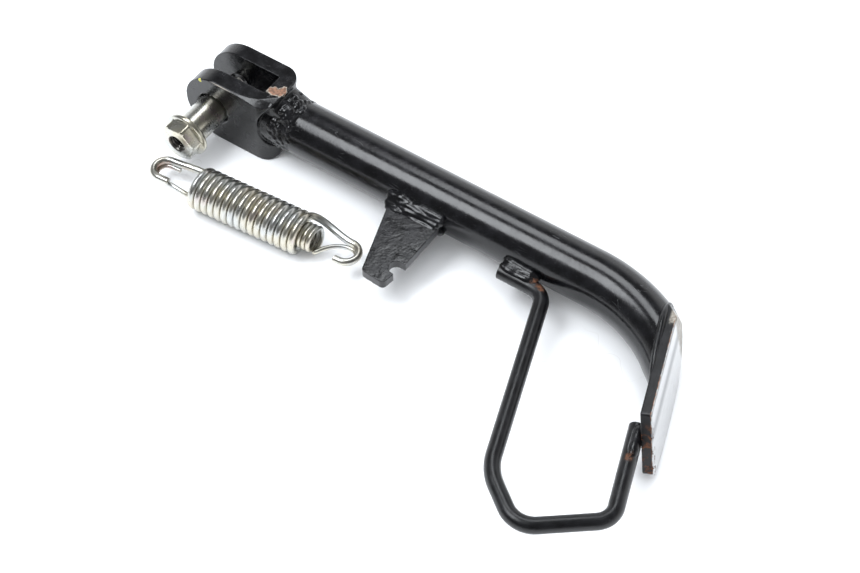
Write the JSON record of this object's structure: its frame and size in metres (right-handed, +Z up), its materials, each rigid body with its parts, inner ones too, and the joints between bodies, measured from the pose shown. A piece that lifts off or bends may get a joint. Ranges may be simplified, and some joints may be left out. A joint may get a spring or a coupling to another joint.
{
  "type": "motorcycle side stand",
  "caption": "Tubular kickstand leg with forked pivot, drawn pivot bolt, foot plate, wire kick loop, spring bracket and nested return springs.",
  "frame": {"origin": "on the pivot axis, midway across the slot of the fork", "axes": "+X along the leg from the pivot to the foot, +Y along the pivot axis away from the bolt's head, +Z up with the stand lying on its side"},
  "size_m": [0.2802, 0.1342, 0.0366],
  "materials": {
    "black_paint": "gloss",
    "foot_paint": "satin, worn to bare metal on the sole",
    "bracket_paint": "satin",
    "weld": "gloss, lumpy",
    "zinc_bolt": "zinc plated, warm, lightly scratched",
    "zinc_spring": "zinc plated, slightly dull"
  },
  "bodies": {
    "leg": {"pivot_fork": "black_paint", "leg_tube": "black_paint", "foot_plate": "foot_paint", "spring_bracket": "bracket_paint", "kick_bar": "black_paint", "fork_weld": "weld", "foot_weld": "weld", "bracket_weld_top": "weld", "bracket_weld_bottom": "weld", "kick_bar_tube_weld": "weld", "kick_bar_foot_weld": "weld"},
    "pivot_bolt": {"pivot_bolt": "zinc_bolt"},
    "spring_pair": {"outer_spring_coil": "zinc_spring", "outer_spring_pivot_hook": "zinc_spring", "inner_spring_coil": "zinc_spring", "inner_spring_pivot_hook": "zinc_spring"},
    "spring_free_end": {"outer_spring_foot_hook": "zinc_spring", "inner_spring_foot_hook": "zinc_spring"}
  },
  "joints": [
    {"name": "bolt_slide", "type": "slide", "parent": "leg", "child": "pivot_bolt", "axis": [0, 1, 0], "range_m": [0, 0.01795]},
    {"name": "springs_lift", "type": "slide", "parent": "leg", "child": "spring_pair", "axis": [0, 0, 1], "range_m": [0, 0.05]},
    {"name": "springs_stretch", "type": "slide", "parent": "spring_pair", "child": "spring_free_end", "axis": [0.9968, 0.0802, 0], "range_m": [0, 0.027], "stiffness_N_per_m": 25000, "deforming": ["outer_spring_coil", "inner_spring_coil"]}
  ]
}
